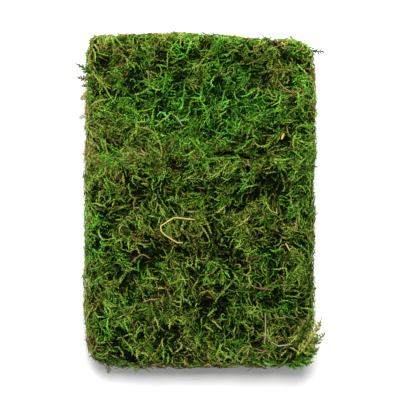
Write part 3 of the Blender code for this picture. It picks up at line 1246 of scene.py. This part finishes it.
@dataclass
class BoldShoots(Tangle):
    """The few long, stout shoots that lie looped on the top of a mat, each at its own place."""

    rows: tuple[Stray, ...] = ()
    spacing: float = 0.0009
    root_depth: float = 0.003
    half_width: float = 0.00105
    shallowest: float = 0.0007
    lighter: float = 0.11

    def build(self, material: Material) -> list[Piece]:
        """Makes one piece of all the rows: each rises from its root to the skin and bends steadily.

        Args:
            material: Their finish.

        Returns:
            The one piece, in a list.
        """
        rng = np.random.default_rng(self.seed)
        tuft = Tuft()
        for row in self.rows:
            steps = int(row.length / self.spacing)
            outside, normal = self.guide.read(row.root())
            start = row.root() - normal * (outside[:, None] + self.root_depth)
            turns = row.turns(steps, 0.04, rng)
            rise = eased(np.linspace(0.0, 1.0, steps)[None, :], 0.0, 0.2)
            depths = self.shallowest - self.root_depth * (1.0 - rise) + rng.normal(0.0, 0.0002, (1, steps))
            walk = creep(self.guide, start, row.heading(), np.array([self.spacing]), turns, depths)
            nature = Nature(np.full((1, 1), row.tone), np.full((1, 1), self.lighter), np.ones((1, 1)))
            self.grow(tuft, walk, nature, rng)
        return [tuft.build(self.name, material, self.pair)]


LOWER_BOLD = (
    Stray(-0.0170, 0.0000, 0.046, -78.0, 0.0200, 80.0, -0.06),
    Stray(-0.0040, -0.0150, 0.046, -40.0, 0.0230, -24.0, -0.06),
    Stray(0.0005, -0.0100, 0.046, -54.0, 0.0200, -16.0, -0.08),
    Stray(0.0330, -0.0590, 0.046, 214.0, 0.0320, 8.0, -0.10),
    Stray(0.0640, -0.0170, 0.046, -52.0, 0.0170, 30.0, 0.02),
)

UPPER_BOLD = (
    Stray(-0.0600, 0.0500, 0.048, 58.0, 0.0520, -185.0, -0.12),
    Stray(-0.0830, 0.1020, 0.048, -60.0, 0.0300, 34.0, -0.04),
    Stray(-0.0553, 0.0836, 0.048, -4.0, 0.0170, 40.0, 0.00),
    Stray(-0.0566, 0.0700, 0.048, -6.0, 0.0200, 32.0, -0.02),
    Stray(-0.0755, 0.0512, 0.048, -98.0, 0.0170, 20.0, -0.10),
    Stray(-0.0660, 0.0410, 0.046, -16.0, 0.0140, -110.0, 0.06),
    Stray(-0.0120, 0.0520, 0.048, -42.0, 0.0220, 10.0, -0.04),
)


@dataclass
class Studio:
    """A pale floor, a soft light from the far side and a camera that looks down on the brick."""

    field_width: float = 0.3235
    distance: float = 2.0
    tilt: float = 1.0
    aim: tuple[float, float, float] = (0.0, 0.0004, 0.022)
    key_power: float = 32.5
    key_size: float = 0.80
    key_place: tuple[float, float, float] = (0.0, 0.50, 1.25)
    key_lean: float = -22.0
    sky: float = 0.48
    floor_half: float = 2.0

    def floor(self) -> Piece:
        """A flat white sheet under the brick.

        Returns:
            The sheet.
        """
        corners = self.floor_half * np.array([[-1, -1, 0], [1, -1, 0], [1, 1, 0], [-1, 1, 0]], float)
        made, shader = new_material("floor_paper")
        shader.inputs["Base Color"].default_value = (0.93, 0.93, 0.93, 1.0)
        shader.inputs["Roughness"].default_value = 0.9
        shader.inputs["Specular IOR Level"].default_value = 0.1
        sheet = mesh_piece("floor", corners, np.array([[0, 1, 2], [0, 2, 3]]), made)
        return sheet

    def light(self) -> None:
        """A large soft key above the far side, over an even white sky."""
        world = bpy.data.worlds.new("sky")
        world.use_nodes = True
        background = world.node_tree.nodes["Background"]
        background.inputs["Color"].default_value = (1.0, 1.0, 1.0, 1.0)
        background.inputs["Strength"].default_value = self.sky
        bpy.context.scene.world = world
        data = bpy.data.lights.new("key", "AREA")
        data.energy = self.key_power
        data.size = self.key_size
        lamp = bpy.data.objects.new("key", data)
        lamp.location = self.key_place
        lamp.rotation_euler = (math.radians(self.key_lean), 0.0, 0.0)
        bpy.context.scene.collection.objects.link(lamp)

    def camera(self) -> Piece:
        """A long lens over the brick, tilted a little from the foot end.

        Returns:
            The camera, which the scene looks through.
        """
        data = bpy.data.cameras.new("camera")
        data.lens = data.sensor_width * self.distance / self.field_width
        made = bpy.data.objects.new("camera", data)
        lean = math.radians(self.tilt)
        x, y, z = self.aim
        made.location = (x, y - self.distance * math.sin(lean), z + self.distance * math.cos(lean))
        made.rotation_euler = (lean, 0.0, 0.0)
        bpy.context.scene.collection.objects.link(made)
        bpy.context.scene.camera = made
        bpy.context.scene.view_settings.view_transform = "Standard"
        return made


def ride(piece: Piece) -> None:
    """Fixes a piece to the brick's one body and reports it.

    Args:
        piece: The piece.
    """
    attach(piece, "root")
    log.info("%s: %d faces", piece.name, len(piece.data.polygons))


LIP_REACH = 0.009  # how near the other mat the shoots of a lip are rooted
BRIDGE_REACH = 0.014  # the same for those that bridge the crevice
BRIDGE_GAP = 0.011  # the skin that they follow leaves out what lies nearer than this to the other mat
BRIDGED = ((-0.093, -0.068), (-0.052, -0.032), (-0.008, 0.002), (0.050, 0.060), (0.072, 0.093))


def tangles(lower: Mat, upper: Mat, whole: Skin) -> list[Tangle]:
    """Every tangle of the brick: lips and strays, tops, flanks, bold shoots and the underside.

    Args:
        lower: The lower mat.
        upper: The upper mat.
        whole: The skin of both as one body.

    Returns:
        The tangles, each with a seed of its own.
    """
    low_seen, up_seen = lower.seen(whole), upper.seen(whole)
    low_top = Side.TOP.holds(lower.normals) & low_seen
    up_top = Side.TOP.holds(upper.normals) & up_seen
    low_side = Side.FLANK.holds(lower.normals) & low_seen
    up_side = Side.FLANK.holds(upper.normals) & up_seen
    underside = Side.UNDER.holds(lower.normals) & low_seen
    low_lip = low_top & (upper.skin.read(lower.middles())[0] < LIP_REACH)
    up_lip = up_top & (lower.skin.read(upper.middles())[0] < LIP_REACH)
    up_edge = up_top & (lower.skin.read(upper.middles())[0] < BRIDGE_REACH)
    over = whole_skin(lower, upper, gap=BRIDGE_GAP)
    lip = {"deepest": -0.003, "shallowest": 0.0006}
    fine = {"cord_steps": 10, "cord_length": (0.006, 0.016), "half_width": 0.00076}
    crowded = {"deepest": -0.0058, "shallowest": 0.0004, "crowding": 0.72, **fine}
    fill = {"deepest": -0.0062, "shallowest": -0.0020, "dulling": 0.04, **fine}
    flank = {"deepest": -0.0034, "shallowest": 0.0005, "clump": 0.0014, "proud": 0.2}
    under = {"deepest": -0.0024, "shallowest": -0.0009, "dulling": 0.2}
    low, up = (lower, lower.skin), (upper, upper.skin)
    return [
        LipTangle("lower_lip", lower, whole, low_lip, cords=90, fronds=4, seed=6, toward=1.0, **lip),
        LipTangle("upper_lip", upper, whole, up_lip, cords=90, fronds=4, seed=7, **lip),
        LipTangle("bridges", upper, over, up_edge, cords=200, fronds=40, seed=12, spans=BRIDGED, **lip),
        StrayFronds("stray_fronds", lower, whole, low_side, seed=8, rows=STRAYS),
        Tangle("lower_top", *low, low_top, cords=4800, fronds=230, seed=1, **crowded),
        Tangle("lower_fill", *low, low_top, cords=1700, seed=13, **fill),
        Tangle("upper_top", *up, up_top, cords=2300, fronds=230, seed=2),
        Tangle("upper_fill", *up, up_top, cords=700, seed=14, **fill),
        Thread("lower_threads", *low, low_top, cords=150, seed=9),
        Thread("upper_threads", *up, up_top, cords=70, seed=10),
        Tangle("lower_flank", *low, low_side, cords=2700, fronds=60, seed=3, dulling=0.06, **flank),
        Tangle("upper_flank", *up, up_side, cords=1250, fronds=40, seed=4, dulling=0.04, **flank),
        BoldShoots("lower_bold", *low, low_top, seed=15, rows=LOWER_BOLD),
        BoldShoots("upper_bold", *up, up_top, seed=16, rows=UPPER_BOLD),
        Tangle("lower_under", *low, underside, cords=2300, seed=5, **under),
    ]


def main() -> None:
    """Builds the studio, the beds, the tangles and the debris, in that order."""
    logging.basicConfig(level=logging.INFO, format="%(name)s: %(message)s")
    studio = Studio()
    studio.camera()
    studio.floor()
    studio.light()

    lower, upper = Mat("lower_mat", "moss_olive"), Mat("upper_mat", "moss_green")
    whole = whole_skin(lower, upper)
    for mat in (lower, upper):
        bed = Bed(mat, ShadedBedFinish()).build()
        ride(bed)
        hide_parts(mat.node)

    leaf = MossFinish().material("moss_leaf")
    for tangle in tangles(lower, upper, whole):
        for piece in tangle.build(leaf):
            ride(piece)

    finishes = {slot: finish.material(slot) for slot, finish in DRY_FINISHES.items()}
    for row in frame["record"]["subparts"]:
        if row["material_slot"] in finishes:
            node = frame["nodes"][row["node"]]
            node.data.materials.clear()
            node.data.materials.append(finishes[row["material_slot"]])
            log.info("%s: dressed as %s", node.name, row["material_slot"])


if __name__ == "__main__":
    main()
